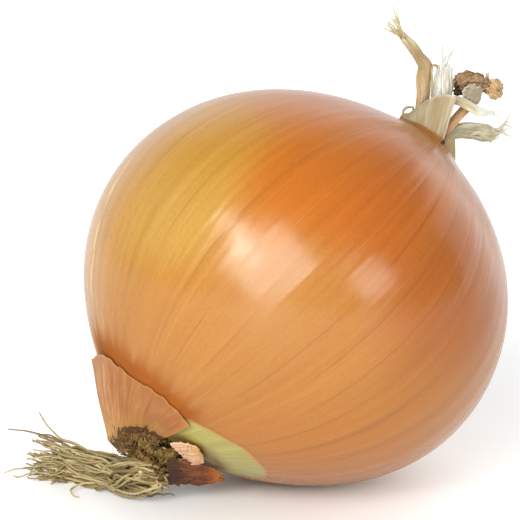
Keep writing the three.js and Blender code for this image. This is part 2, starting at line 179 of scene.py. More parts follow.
def ballFrom(name, points, values, corners=None):
    # a grid wrapped round into a closed surface, whose first and last rows each shrink to a pole; corners
    # holds the UV of each face of the grid
    rows, columns = points.shape[:2]
    points[0], points[-1] = points[0].mean(axis=0), points[-1].mean(axis=0)
    kept = np.r_[0, columns:(rows - 1) * columns, rows * columns - 1]
    faces = clip(gridFaces(rows, columns, True) - columns + 1, 0, len(kept) - 1)

    def grouped(table):
        return [table[columns:-columns], table[:columns][:, [0, 1, 2]], table[-columns:][:, [0, 1, 3]]]

    uv = None if corners is None else concatenate([group.reshape(-1, 2) for group in grouped(corners)])
    values = {key: value.reshape(rows * columns, -1)[kept] for key, value in values.items()}
    return meshFrom(name, points.reshape(-1, 3)[kept], grouped(faces), values, uv)


def sheets(name, grids, thickness, values=None):
    # grids of points, rows along and columns across, thickened into leaves; grain holds mm across, mm along and
    # the grid's number, and rim the mm to the nearest free edge
    points, faces, grain, rim, base = [], [], [], [], 0
    for number, grid in enumerate(grids):
        rows, columns = grid.shape[:2]
        along = norm(np.diff(grid[:, columns // 2], axis=0), axis=-1).sum() * linspace(0, 1, rows)
        across = norm(np.diff(grid[rows // 2], axis=0), axis=-1).sum() * linspace(0, 1, columns)
        a, b = np.meshgrid(along, across, indexing="ij")
        points.append(toWorld(grid).reshape(-1, 3))
        faces.append(gridFaces(rows, columns) + base)
        grain.append(stack([b, a, np.full(a.shape, 10 * number)], axis=-1).reshape(-1, 3))
        rim.append(minimum(minimum(b, across[-1] - b), along[-1] - a).ravel())
        base += rows * columns
    extra = {"grain": concatenate(grain), "rim": concatenate(rim), **(values or {})}
    made = meshFrom(name, concatenate(points), faces, extra)
    wall = made.modifiers.new("wall", "SOLIDIFY")
    wall.thickness = thickness * mm
    wall.offset = 0
    return made


def tubes(name, routes, sides, ridges=0):
    # round strands: each route is a path in world mm, its radii and its shade; ends are closed
    points, quads, caps, lie, base = [], [], [], [], 0
    turn = linspace(0, 2 * pi, sides, endpoint=False)
    for number, (path, radii, shade) in enumerate(routes):
        steps = len(path)
        tangent = unit(np.gradient(path, axis=0))
        side = unit(np.cross(tangent, np.array([0.13, 0.21, 1])))
        up = np.cross(side, tangent)
        shape = 1 + ridges * sin(5 * turn + number)
        ring = cos(turn)[None, :, None] * side[:, None] + sin(turn)[None, :, None] * up[:, None]
        points.append((path[:, None] + ring * radii[:, None, None] * shape[None, :, None]).reshape(-1, 3))
        quads.append(gridFaces(steps, sides, True)[:, ::-1] + base)
        caps.append(stack([np.arange(sides), steps * sides - 1 - np.arange(sides)]) + base)
        length = concatenate([[0], np.cumsum(norm(np.diff(path, axis=0), axis=-1))])
        around = np.repeat(np.abs(turn[None] - pi), steps, 0)
        lie.append(stack([around * 0 + shade, around * 0 + length[:, None], around], axis=-1).reshape(-1, 3))
        base += steps * sides
    return meshFrom(name, concatenate(points), quads + caps, {"lie": concatenate(lie)})


def placeOn(made, finish, slot, *nodes):
    made.data.materials.append(finish)
    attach(made, "root")
    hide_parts(*nodes)


# finishes: these build in the node tree begun last

class Value:
    # an output of a node, to add to, take from or multiply by a number or another output
    def __init__(self, socket):
        self.socket = socket

    def __add__(self, other):
        return maths("ADD", self, other)

    def __sub__(self, other):
        return maths("SUBTRACT", self, other)

    def __mul__(self, other):
        return maths("MULTIPLY", self, other)


def newFinish(name):
    # begins a material, and gives it back with its shader's inputs
    global tree
    finish = bpy.data.materials.new(name)
    finish.use_nodes = True
    tree = finish.node_tree
    return finish, tree.nodes["Principled BSDF"].inputs


def plug(socket, value):
    if isinstance(value, Value):
        tree.links.new(value.socket, socket)
    elif isinstance(value, tuple) and socket.type == "RGBA":
        socket.default_value = (*value, 1)
    else:
        socket.default_value = value


def node(kind, inputs=None, output=0, **settings):
    made = tree.nodes.new("ShaderNode" + kind)
    for key, value in settings.items():
        setattr(made, key, value)
    for key, value in (inputs or {}).items():
        plug(made.inputs[key], value)
    return Value(made.outputs[output])


def attribute(name, output="Fac"):
    return node("Attribute", output=output, attribute_name=name)


def maths(operation, first, second=0):
    return node("Math", {0: first, 1: second}, operation=operation)


def split(vector):
    made = tree.nodes.new("ShaderNodeSeparateXYZ")
    plug(made.inputs[0], vector)
    return [Value(output) for output in made.outputs]


def between(value, low, high, start=0, end=1, kind="SMOOTHSTEP"):
    # start at low, end at high, smooth in between; low may be the larger
    if low > high:
        low, high, start, end = high, low, end, start
    return node("MapRange", {"Value": value, "From Min": low, "From Max": high, "To Min": start, "To Max": end},
                interpolation_type=kind)


def mixed(share, first, second, blend="MIX"):
    return node("Mix", {0: share, 6: first, 7: second}, 2, data_type="RGBA", blend_type=blend)


def layered(tone, *bands):
    # lays colours over a tone, each by its own share
    for share, colour in bands:
        tone = mixed(share, tone, colour)
    return tone


def mottled(tone, share, pattern, dark, light):
    # multiplies a tone by a pattern that runs from dark to light
    return mixed(share, tone, mixed(pattern, dark, light), "MULTIPLY")


def noise(vector, stretch, shift=(0, 0, 0), detail=3, rough=0.5):
    placed = node("Mapping", {"Vector": vector, "Scale": stretch, "Location": shift})
    return node("TexNoise", {"Vector": placed, "Scale": 1, "Detail": detail, "Roughness": rough})


def settle(surface, tone, roughness, specular, height, strength, depth):
    # the colour, the roughness, the shine, and a relief that is depth mm deep
    plug(surface["Base Color"], tone)
    plug(surface["Roughness"], roughness)
    plug(surface["Specular IOR Level"], specular)
    plug(surface["Normal"], node("Bump", {"Height": height, "Strength": strength, "Distance": depth * mm}))


dry = {"rough": 0.6, "specular": 0.35, "stainShare": 0.6, "rim": 0.45, "rimShare": 0.6, "uneven": 0.5}


def dryFinish(name, pale, deep, edge, fibre=2.4, patches=0.35, spots=(0.2, 0.1, 0.04), spotShare=0.3,
              foot=None, over=()):
    # papery dead leaf with fibres, broad stains, flecks and a toned rim; over lists attributes, each with two
    # levels and the colour that the leaf turns to, or is multiplied by, between the two
    finish, surface = newFinish(name)
    grain = attribute("grain", "Vector")
    fibres = noise(grain, (fibre, 0.1, 1), detail=4, rough=0.65)
    stains = noise(grain, (patches, patches * 0.6, 1), (5, 1, 3), 2)
    flecks = between(noise(grain, (1.6, 0.5, 1), (9, 4, 2)), 0.62, 0.72)
    tone = layered(mixed(between(fibres, 0.32, 0.68), deep, pale),
                   (between(stains, 0.62, 0.35) * dry["stainShare"], deep), (flecks * spotShare, spots),
                   (between(attribute("rim"), dry["rim"], 0) * dry["rimShare"], edge))
    if foot:   # yellow, then dark brown flecked with straw where the skin meets the plate
        height = attribute("foot")
        torn = height + (noise(grain, (0.8, 0.4, 1), detail=4, rough=0.6) - 0.5) * -foot["tear"]
        straw = between(noise(grain, (2.6, 0.7, 1), (3, 8, 1), 4), 0.46, 0.62)
        tone = layered(tone, (between(height, *foot["yellowing"]) * 0.6, foot["yellow"]),
                       (between(torn, *foot["browning"]), foot["brown"]),
                       (straw * between(torn, *foot["flecking"]), foot["straw"]))
    for level, low, high, *band in over:
        uneven = (noise(grain, (2, 0.6, 1)) - 0.5) * dry["uneven"]
        tone = mixed(between(attribute(level) + uneven, low, high), tone, *band)
    settle(surface, tone, dry["rough"], dry["specular"], fibres, 0.5, 0.25)
    return finish


# camera, floor and light

camera = {"place": (-10.283, -442.888, 135.872), "tilt": 78, "lens": 166.15}
lens = bpy.data.cameras.new("view")
lens.lens = camera["lens"]
lens.sensor_width = 36
viewer = bpy.data.objects.new("view", lens)
viewer.location = [value * mm for value in camera["place"]]
viewer.rotation_euler = (radians(camera["tilt"]), 0, 0)
bpy.context.scene.collection.objects.link(viewer)
bpy.context.scene.camera = viewer
bpy.context.scene.view_settings.view_transform = "Standard"

table = {"half": 3000, "tone": (0.8, 0.8, 0.8), "roughness": 0.42, "specular": 0.3, "under": (0.013, 0.008, 0),
         "glow": ((0, 0.05, 0.33), (0.05, 0.5, 0.32))}   # from and to in metres from the onion, and how strong
floor = meshFrom("floor", table["half"] * np.array([[-1, -1, 0], [1, -1, 0], [1, 1, 0], [-1, 1, 0]]),
                 [np.array([[0, 1, 2, 3]])])
floorFinish, surface = newFinish("white table")   # lit from below, and more so away from the onion
aside = node("VectorMath", {0: node("TexCoord", output="Object"), 1: table["under"]})
away = node("VectorMath", {0: aside}, "Value", operation="LENGTH")
near, far = (between(away, start, end) * share for start, end, share in table["glow"])
for key, value in (("Base Color", table["tone"]), ("Roughness", table["roughness"]), ("Emission Strength", near + far),
                   ("Specular IOR Level", table["specular"]), ("Emission Color", (1, 1, 1))):
    plug(surface[key], value)
floor.data.materials.append(floorFinish)

# a white room, dimmer in front, so that the skin is deep there and pale at its rims
room = {"front": 0.25, "back": 1.22, "from": 0.35, "to": 0.9}
world = bpy.data.worlds.new("studio")
world.use_nodes = True
tree = world.node_tree
away = split(node("TexCoord", output="Generated"))[1]
background = tree.nodes["Background"].inputs
plug(background["Strength"], between(away, room["from"], room["to"], room["front"], room["back"]))
plug(background["Color"], (1, 1, 1))
bpy.context.scene.world = world

lamps = {  # where each softbox stands seen from the bulb, its distance and size in metres, its power and its turn
    "keyLight": ((-0.26, -0.88, 0.38), 0.62, (0.46, 0.35), 4, 40),
    "stripLight": ((-0.47, -0.69, 0.53), 0.65, (0.1, 0.28), 1.5, 30),
    "sideLight": ((0.62, -0.745, 0.25), 0.7, (0.27, 0.2), 1, 20),
    "topLight": ((0, 0.62, 0.78), 1, (1, 0.8), 0.9, 0),
    "rimLight": ((0.82, 0.52, 0.22), 0.8, (0.6, 0.6), 1.2, 0),
}
for name, (towards, distance, size, power, turn) in lamps.items():
    light = bpy.data.lights.new(name, "AREA")
    light.shape = "RECTANGLE"
    light.size, light.size_y = size
    light.energy = power
    box = bpy.data.objects.new(name, light)
    towards = unit(np.array(towards))
    box.location = centre * mm + towards * distance
    box.rotation_euler = Vector(-towards).to_track_quat("-Z", "Y").to_euler()
    box.rotation_euler.rotate_axis("Z", radians(turn))
    bpy.context.scene.collection.objects.link(box)
print("camera, floor and lights are set")


# the bulb

bulb = {
    "rows": 200, "columns": 432, "crowding": 0.3,
    "veins": (26.1, 39.9, 49.8, 60.7, 69.1, 76.9, 85.2, 93.5),   # degrees round from the upper side
    "veinPitch": 8.6, "veinStray": 1.6, "ribHeight": 0.035, "dent": 0.08, "facet": 0.045, "innerStep": 0.22,
    "faded": (0.75, 32, 14), "peeledTurn": -9,   # how much, how wide and where the veins fade, in degrees
    "innerEdge": ((40, 159), (60, 158), (68, 155.5), (74, 151.8), (82, 149.2), (93, 146.4), (105, 143), (126, 141.8),
                  (140, 142.5), (152, 145.5), (162, 150), (180, 156), (200, 168)),
}

toneBlobs = {  # psi, theta, width along and width round in degrees, and the skin's colour there
    "ochre": (104, 20, 16, 13, (0.42, 0.24, 0.052)),
    "yellowTop": (84, 16, 14, 12, (0.41, 0.2, 0.022)),
    "shoulder": (108, 2, 20, 12, (0.43, 0.22, 0.058)),
    "deepOrange": (60, 62, 16, 14, (0.37, 0.096, 0.012)),
    "orangeBand": (74, 44, 13, 11, (0.4, 0.112, 0.01)),
    "topRim": (52, 28, 16, 22, (0.41, 0.13, 0.02)),
    "rightSide": (68, 92, 20, 16, (0.32, 0.092, 0.014)),
    "front": (106, 72, 16, 22, (0.345, 0.142, 0.026)),
    "left": (131, 36, 12, 22, (0.36, 0.148, 0.025)),
    "belly": (112, 114, 26, 24, (0.37, 0.135, 0.022)),
    "nearNeck": (30, 70, 16, 60, (0.41, 0.145, 0.04)),
    "back": (95, 200, 40, 40, (0.41, 0.18, 0.035)),
    "backLow": (110, 270, 36, 36, (0.42, 0.16, 0.028)),
    "backTop": (72, 310, 34, 32, (0.42, 0.2, 0.03)),
}
stain = {"along": 149.6, "from": -12, "to": 78, "reach": 5.4, "tone": (0.265, 0.066, 0)}


def bulbTone(psi, theta):
    # the mean of the blobs, each weighted by how near its centre is
    total, weight = 0, 0
    for along, turned, wide, deep, colour in toneBlobs.values():
        aside = (degrees(theta) - turned + 180) % 360 - 180
        share = np.exp(-((degrees(psi) - along) / wide) ** 2 - (aside / deep) ** 2) * (60 / wide) ** 1.5 + 1e-9
        total = total + share[..., None] * np.array(colour)
        weight = weight + share
    tone = total / weight[..., None]
    # an orange stain fades away from where the torn flap ends, in streaks along the meridians
    streaks = 1 + 0.3 * ripple(degrees(theta) * 0.8, psi * 2, 12, 0.6, 2)
    over = (stain["along"] - degrees(psi)) / (stain["reach"] * streaks)
    start, end = stain["from"], stain["to"]
    ends = smoothStep(start - 20, start + 8, degrees(theta)) * smoothStep(end + 8, end - 8, degrees(theta))
    share = (np.exp(-clip(over, 0, 9) ** 1.5) * ends)[..., None]
    return tone * (1 - share) + np.array(stain["tone"]) * share, share


def makeBulb():
    # bulbReach with low ribs along the meridians and a step down to the inner skin past innerEdge, pressed flat
    # where it would be under the floor
    even = linspace(0, pi, bulb["rows"])
    turns = linspace(-pi, pi, bulb["columns"], endpoint=False)
    psi, theta = np.meshgrid(even - bulb["crowding"] * sin(2 * even), turns, indexing="ij")
    turn = degrees(theta)
    # the UV map counts veins round the bulb, so a whole number of its U is a vein
    rng = np.random.default_rng(3)
    first, last, pitch = bulb["veins"][0], bulb["veins"][-1], bulb["veinPitch"]
    hidden = np.arange(last + pitch, first + 360 - pitch / 2, pitch)
    hidden = hidden + rng.uniform(-bulb["veinStray"], bulb["veinStray"], len(hidden))
    marks = concatenate([bulb["veins"], hidden, [first + 360]])
    around = np.interp((turn - first) % 360 + first, marks, np.arange(len(marks)))
    edge = np.array(bulb["innerEdge"])
    inside = degrees(psi) - np.interp(turn, edge[:, 0], edge[:, 1], left=200, right=200)
    x, y = cos(theta), sin(theta)
    ribs = bulb["ribHeight"] * ripple(x * 22, y * 22, 5, 0.6, 1.4) * sin(psi) ** 0.5
    dents = bulb["dent"] * ripple(x * 3 + psi, y * 3, 8, 0.6, 1.3, 5)
    facets = bulb["facet"] * np.abs(sin(pi * around))
    lift = ribs + (dents + facets) * sin(psi) - bulb["innerStep"] * smoothStep(-0.4, 0.6, inside)
    points = toWorld(overBulb(psi, theta, lift))
    points[..., 2] = maximum(points[..., 2], 0)
    faces = gridFaces(*psi.shape, True)
    u, count = around.ravel()[faces], len(marks) - 1
    u = u + count * np.round((u[:, :1] - u) / count)
    tone, stained = bulbTone(psi, theta)
    fade, fadeWidth, fadeTurn = bulb["faded"]
    values = {"meridian": stack([x, y, psi / pi], axis=-1), "inside": inside, "tone": tone,
              "stained": stained, "peeling": turn - bulb["peeledTurn"],
              "veinage": 1 - gauss(fade, fadeWidth, turn - fadeTurn)}
    return ballFrom("bulbSkin", points, values, stack([u, psi.ravel()[faces] / pi], axis=-1))


skin = {
    "specular": 0.45, "tint": (1, 0.98, 0.9), "gloss": (0.19, 0.29), "stainedRough": 0.7,
    "vein": (0.2, 0.05, 0.012), "veinWidth": 0.042, "veinShare": 0.6,
    "minor": (0.26, 0.08, 0.02), "minorWidth": 0.05, "minorShare": 0.3,
    "peeled": (0.62, 0.44, 0.14), "peeledShare": 0.7, "rim": (0.33, 0.1, 0.012), "rimShare": 0.75,
    "inner": ((0.3, 0.26, 0.054), (0.39, 0.35, 0.105)), "innerEdge": (0.42, 0.25, 0.05),
    "innerFoot": (0.2, 0.13, 0.03),
}


def bulbFinish():
    # mottled along the meridians, with veins, peeled marks and the deeper skin where the outer one is torn
    finish, surface = newFinish("cured onion skin")
    meridian = attribute("meridian", "Vector")
    fromPole = split(meridian)[2]
    broad = noise(meridian, (7, 7, 3), (2, 2, 2), 2)
    tone = mottled(attribute("tone", "Color"), 0.5, broad, (0.8, 0.76, 0.7), (1.22, 1.26, 1.32))
    fibres = noise(meridian, (80, 80, 4), (1, 7, 2), 4, 0.6)
    streaks = noise(meridian, (26, 26, 2.4), (4, 9, 1), 3, 0.55)
    speckle = noise(node("TexCoord", output="Object"), (2200, 2200, 2200), detail=2)
    for share, pattern, dark, light in ((0.18, fibres, (0.8, 0.7, 0.6), (1.12, 1.16, 1.2)),
                                        (0.3, streaks, (0.86, 0.76, 0.66), (1.1, 1.14, 1.18)),
                                        (0.42, speckle, (0.9, 0.87, 0.8), (1.1, 1.13, 1.2))):
        tone = mottled(tone, share, between(pattern, 0.3, 0.7), dark, light)
    turns = split(node("UVMap"))[0]
    wander = (noise(meridian, (2.2, 2.2, 5)) - 0.5) * 0.28
    weight = between(noise(meridian, (9, 9, 5), (3, 1, 5), 2), 0.38, 0.62)
    veins = between(maths("PINGPONG", turns + wander, 0.5), skin["veinWidth"], 0) * weight
    halfway = between(maths("PINGPONG", turns * 2 + wander * 4, 0.5), skin["minorWidth"], 0)
    minor = between(noise(meridian, (12, 12, 6), (8, 3, 1), 2), 0.5, 0.7)
    peeled = between(maths("ABSOLUTE", attribute("peeling") + wander * 6), 1.5, 0.8)
    broken = between(noise(meridian, (30, 30, 26), (5, 5, 5)), 0.44, 0.5)
    stretch = between(fromPole, 0.52, 0.57) * between(fromPole, 0.79, 0.75)
    inside = attribute("inside")
    inner = layered(mixed(between(noise(meridian, (60, 60, 5)), 0.3, 0.7), *skin["inner"]),
                    (between(inside, 3, 0.2), skin["innerEdge"]), (between(inside, 9, 15), skin["innerFoot"]))
    rim = between(inside, -1.8, -0.2) * between(inside, 0.9, 0)
    tone = layered(tone, (veins * (attribute("veinage") * skin["veinShare"]), skin["vein"]),
                   (halfway * minor * skin["minorShare"], skin["minor"]),
                   (peeled * broken * stretch * skin["peeledShare"], skin["peeled"]),
                   (between(inside, -0.35, 0.25), inner), (rim * skin["rimShare"], skin["rim"]))
    rough = between(streaks, 0.3, 0.7, *skin["gloss"], "LINEAR") + attribute("stained") * skin["stainedRough"]
    away = between(fromPole, 0.06, 0.3) * between(fromPole, 0.9, 0.7)
    swell = noise(meridian, (17, 17, 2), (6, 2, 4), 1) * away
    settle(surface, tone, rough, skin["specular"], swell, 0.3, 0.5)
    plug(surface["Specular Tint"], skin["tint"])
    return finish


placeOn(makeBulb(), bulbFinish(), "bulb_skin", "bulb")
print("the bulb is done")


# the basal plate

plate = {
    "radius": 8, "height": 6.3, "rise": -3.4, "side": 1.2, "along": 0.5, "rows": 130, "columns": 280,
    "lumps": 0.4, "grit": 0.3, "fine": 0.14, "pits": 0.55, "cracks": 0.3, "trim": 1.4, "bare": 0.6,
    "stubs": 190, "stubLength": (0.9, 2.4), "stubRadius": (0.14, 0.34), "stubBend": 0.35, "stubTaper": 0.55,
    "dark": (0.035, 0.017, 0.004), "light": (0.24, 0.135, 0.035), "patch": (0.27, 0.18, 0.05),
    # deep is a painted shade, near black, for the plate's pits and cracks
    "red": (0.17, 0.045, 0.015), "straw": (0.4, 0.28, 0.09), "deep": (0.008, 0.004, 0.002),
}
plateMiddle = fromRoot([plate["along"], plate["rise"], plate["side"]])


def towardsSkins(x, y):
    # how much a direction on the plate points to the torn skins
    return 0.58 * y - 0.81 * x


def onPlate(x, y, z, cork):
    # the dome's surface towards x, y, z, pressed flat just under the skin where it is in the bulb
    wide, high = plate["radius"] + cork, plate["height"] + cork
    local = plateMiddle + stack([wide * x, wide * y, high * z], axis=-1)
    reach = norm(local, axis=-1)
    skinOf = bulbReach(np.arccos(local[..., 2] / reach), np.arctan2(local[..., 1], local[..., 0])) - 0.6
    return local * (maximum(reach, skinOf) / reach)[..., None]


def makePlate():
    # a low dome with corky lumps, pits and cracks
    p, q = np.meshgrid(linspace(0, pi, plate["rows"]),
                       linspace(0, 2 * pi, plate["columns"], endpoint=False), indexing="ij")
    x, y, z = sin(p) * cos(q), sin(p) * sin(q), cos(p)
    cork = plate["lumps"] * (sin(5 * x + 1) * sin(6 * y) + sin(9 * x * y)) - 0.2
    cork = cork + plate["grit"] * ripple(x * 9 + z * 4, y * 9, 21)
    cork = cork + plate["fine"] * ripple(x * 24, y * 24 + z * 20, 22)
    pits = smoothStep(0.3, 1.5, ripple(x * 13, y * 13 + z * 9, 23))
    cracks = smoothStep(0.25, 0, np.abs(ripple(x * 10 + 3, y * 10 + z * 7, 24)))
    cork = cork - plate["pits"] * pits - plate["cracks"] * cracks
    points = toWorld(onPlate(x, y, z, cork - plate["trim"] * smoothStep(0.25, 0.95, towardsSkins(x, y))))
    points[..., 2] = maximum(points[..., 2], 0.05)
    return ballFrom("basalPlate", points, {"cork": cork, "ball": stack([x, y, z], axis=-1)})


def makeStubs():
    # broken root ends that stand out of the plate
    rng = np.random.default_rng(29)
    routes = []
    for _ in range(plate["stubs"]):
        q, z = rng.uniform(0, 2 * pi), -rng.uniform(0.05, 0.95)
        wide = np.sqrt(1 - z * z)
        x, y = np.array(wide * cos(q)), np.array(wide * sin(q))
        if towardsSkins(x, y) > plate["bare"]:   # none under the torn skins
            continue
        foot = toWorld(onPlate(x, y, np.array(z), np.array(-0.4)))
        lean = unit(np.array([x, y, 1.2 * z]) + rng.normal(0, 0.55, 3)) @ axes
        steps = linspace(0, 1, 7)[:, None]
        length = rng.uniform(*plate["stubLength"])
        path = foot + lean * steps * length + rng.normal(0, plate["stubBend"], 3) * steps ** 2
        radii = rng.uniform(*plate["stubRadius"]) * (1 - plate["stubTaper"] * steps[:, 0] ** 2)
        path[:, 2] = maximum(path[:, 2], radii)
        routes.append((path, radii, rng.uniform()))
    return tubes("plateStubs", routes, 6)


def corkFinish():
    finish, surface = newFinish("dark dry cork")
    ball = attribute("ball", "Vector")
    x, y, _ = split(ball)
    fine = noise(ball, (11, 11, 11), detail=5, rough=0.7)
    patches = between(noise(ball, (3, 3, 3), (4, 2, 2), 2), 0.45, 0.62)
    red = between(x, -0.35, -0.75) * between(y, -0.1, 0.35)
    straw = between(noise(ball, (24, 6, 9), (2, 5, 1)), 0.58, 0.68)
    # the last band, near black where the cork sinks, is painted shade in the pits and cracks
    tone = layered(mixed(between(fine, 0.35, 0.68), plate["dark"], plate["light"]),
                   (patches * 0.6, plate["patch"]), (red * 0.75, plate["red"]), (straw * 0.75, plate["straw"]),
                   (between(attribute("cork"), -0.15, -0.85), plate["deep"]))
    settle(surface, tone, 0.9, 0.08, fine, 0.9, 0.6)
    return finish


def strandFinish(name, dark, middle, light, foot):
    # straw strands, each of its own shade, mottled and browner over the first foot mm
    finish, surface = newFinish(name)
    shade, length, _ = split(attribute("lie", "Vector"))
    mottle = noise(node("TexCoord", output="Object"), (700, 700, 700))
    tone = layered(mixed(between(shade, 0, 0.6), dark, middle), (between(shade, 0.6, 1), light),
                   (between(mottle, 0.5, 0.72) * 0.6, dark), (between(length, foot, 0), dark))
    settle(surface, tone, 0.8, 0.15, mottle, 0.4, 0.12)
    return finish


placeOn(makePlate(), corkFinish(), "basal_cork", "basal_plate")
stubFinish = strandFinish("broken root ends", (0.06, 0.03, 0.01), (0.18, 0.11, 0.035), (0.4, 0.28, 0.1), 1)
placeOn(makeStubs(), stubFinish, "basal_cork", "basal_plate")


# the roots: lanes by layers of fine strands on the floor, and a few that stray
roots = {"lanes": 10, "layers": 10, "radius": 0.26, "length": 26.5, "heading": 151, "fan": -7,
         "halfWidth": 3.5, "back": 0.25, "height": 5.6, "endHeight": 9.5, "steps": 40, "sides": 7, "wave": 0.75}
crownPlace = toWorld(fromRoot([-4.7, -4.6, 0]))
strays = (
    ((-38, -11, 6), (-45, -7, 7.6), (-48.5, -6, 8.6), (-50, -6, 11.2), (-52, -6, 13.4)),
    ((-38, -11, 5), (-44, -7.5, 6.8), (-49, -5.5, 8.4), (-54, -4.6, 9.7), (-58.2, -4, 9.5)),
    ((-38, -12, 2), (-45, -8.5, 2.6), (-51, -5, 2.8), (-56, -3, 1.4), (-59, -2, 0.5)),
    ((-38, -12, 1), (-45, -8.5, 1.2), (-52, -6, 1.6), (-55, -5, 1), (-57.3, -3.3, 0.5)),
    ((-38, -13, 2), (-44, -9, 2.4), (-47, -8, 2), (-49.8, -8.6, 0.5)),
    ((-36, -14, 2), (-41, -11, 1.6), (-45.4, -12.4, 0.6), (-45.4, -15.4, 0.5), (-43.4, -16.6, 0.5)),
    ((-34, -15, 2), (-36, -14, 0.6), (-33, -14.6, 0.6), (-31.6, -16.9, 0.5)),
    ((-33, -15, 2), (-32, -15.4, 0.6), (-29, -15.8, 0.6), (-25.9, -16.8, 0.5)),
)


def makeRoots():
    # every strand is a spline through a few points of its own lane and layer, plus a slow wave
    draw = np.random.default_rng(17).uniform
    routes = []
    place = linspace(0, 1, roots["steps"])

    def finished(path, radius, wave):
        wave = wave * smoothStep(0.05, 0.35, place)[:, None]
        for share, low, high in ((1, 5, 13), (0.4, 16, 30)):
            path = path + share * wave * sin(draw(low, high, 3) * place[:, None] + draw(0, 6.3, 3))
        radii = radius * (1 + 0.12 * sin(place * draw(10, 25) + draw(0, 6))) * (1 - 0.5 * place ** 3)
        path[:, 2] = maximum(path[:, 2], radii)
        routes.append((path, radii, draw()))

    for i in range(roots["lanes"] * roots["layers"]):
        lane = 2 * ((i % roots["lanes"]) + 0.5 + draw(-0.35, 0.35)) / roots["lanes"] - 1
        layer = (i // roots["lanes"] + 0.5 + draw(-0.35, 0.35)) / roots["layers"]
        bearing = radians(roots["heading"] + lane * roots["fan"])
        ahead = np.array([cos(bearing), sin(bearing), 0])
        nearer = np.array([-ahead[1], ahead[0], 0]) * roots["halfWidth"]
        length = roots["length"] * (0.72 + 0.3 * draw())
        # each stop is mm ahead of the crown, half widths nearer and mm up
        stops = [(0, 0.8 * lane, crownPlace[2] - 0.8 + 1.2 * layer)]
        if i % 4 == 0:   # these turn back in front of the plate
            stops += [(-4 - 2 * draw(), 0.5 * lane + 0.7, 3.2 + 2.2 * layer),
                      (-2.6, 0.5 * lane + 0.9, 2.4 + 3 * layer)]
        elif i % 4 == 2:   # and these start on its face
            stops = [(-6.5 + 4 * draw(), 0.75, 4 + 3 * layer),
                     (-3 + 3 * draw(), 1.7, 4.6 + 4 * layer)]
        else:
            stops += [(4, 0.95 * lane - 0.12, 1.6 + 4 * layer)]
        stops += [(0.38 * length, lane - roots["back"], roots["height"] * layer),
                  (0.7 * length, 0.8 * lane - roots["back"], 1.1 * roots["height"] * layer),
                  (length, 0.6 * lane + draw(-0.4, 0.4), roots["endHeight"] * layer * draw() ** 0.5)]
        path = crownPlace * (1, 1, 0) + np.array(stops) @ np.array([ahead, nearer, (0, 0, 1)])
        finished(smoothPath(path, place), roots["radius"] * draw(0.75, 1.2), roots["wave"])
    for stray in strays:
        finished(smoothPath([crownPlace, *stray], place), roots["radius"] * 0.85, 0.25)
    return tubes("rootMat", routes, roots["sides"])


rootFinish = strandFinish("dry straw root", (0.19, 0.13, 0.052), (0.32, 0.25, 0.115), (0.48, 0.4, 0.21), 1.2)
placeOn(makeRoots(), rootFinish, "dry_root", "roots")
print("the plate and the roots are done")


# torn skins at the root end

flap = {
    "from": -42, "to": 77, "across": (4.8, 4.3, 4.4, 5.6, 7, 9), "along": (-5.7, -5.5, -4.6, -2.3, -0.4, 0.5),
    "edge": (155.5, 153.4, 152.8, 151.7, 152.8, 153, 151.8, 151.4, 152.4),
    "lift": (1.4, 1.2, 0.8, 0.5, 0.35, 0.3, 0.3, 0.35), "bow": (-0.1, 0.5, 0.5, 0.5), "thickness": 0.24,
    "ridge": 0.045, "wave": 0.35, "tucked": 0.3, "tuck": (4.6, 4.4, 3.6, 3.2, 3, 2.8), "torn": 0.6,
    "rows": 90, "columns": 320,
}


def makeFlap():
    # straight lines from a ring on the plate out to the torn edge over the bulb, bowed outwards and ridged
    s, t = spread(flap["rows"], flap["columns"], -flap["tucked"])
    tuck = clip(-s, 0, 1)
    s = maximum(s, 0)
    turn = flap["from"] + (flap["to"] - flap["from"]) * t
    theta = radians(turn)
    across = graded(flap["across"], t)
    base = fromRoot(stack([graded(flap["along"], t), across * cos(theta), across * sin(theta)], axis=-1))
    short = ragged(t, 4, 0.35, 13) + 0.25 * ripple(t * 40, t * 0, 9, 0.5, 2)
    edge = overBulb(radians(graded(flap["edge"], t) + short), theta, graded(flap["lift"], t))
    point = base + (edge - base) * s[..., None]
    outward = unit(point)
    bow = graded(flap["bow"], t) * sin(pi * s)
    ridges = ripple(t * 90 + 1.5 * s, s * 2, 31, 0.7, 2.2) + 0.4 * ripple(t * 260 + 2 * s, s * 3, 32, 0.7, 2)
    ridges = flap["ridge"] * ridges * sin(pi * clip(s + 0.15, 0, 1))
    waves = flap["wave"] * ripple(t * 14, s * 4, 33, 0.6, 1.6) * s * (1 - s) * 2
    point = point + outward * (bow + ridges + waves)[..., None]
    # below its base the skin tucks in over the plate, down to a torn lower edge
    tuck = tuck / flap["tucked"] * (1 - ragged(t, 6, flap["torn"], 15))
    outwards = base[..., :2] - plateMiddle[:2]
    far = norm(outwards, axis=-1)
    nearer = far - graded(flap["tuck"], t) * tuck
    dome = plate["height"] * np.sqrt(clip(1 - (nearer / plate["radius"]) ** 2, 0, 1)) + 0.45
    drop = minimum(0, plateMiddle[2] - dome - base[..., 2]) * smoothStep(0, 1, tuck)
    drop = base[..., 2] + drop + 0.12 * ripple(t * 60, tuck * 3, 37)
    under = concatenate([plateMiddle[:2] + outwards / far[..., None] * nearer[..., None], drop[..., None]], axis=-1)
    point = np.where((tuck > 0)[..., None], under, point)
    foot = np.where(tuck > 0, -6 * tuck, 16 * s) + 1.8 * (1 - smoothStep(0.2, 0.5, t)) * (1 - 0.6 * tuck)
    return sheets("skinFlap", [point], flap["thickness"], {"foot": foot.ravel(), "turn": t.ravel()})


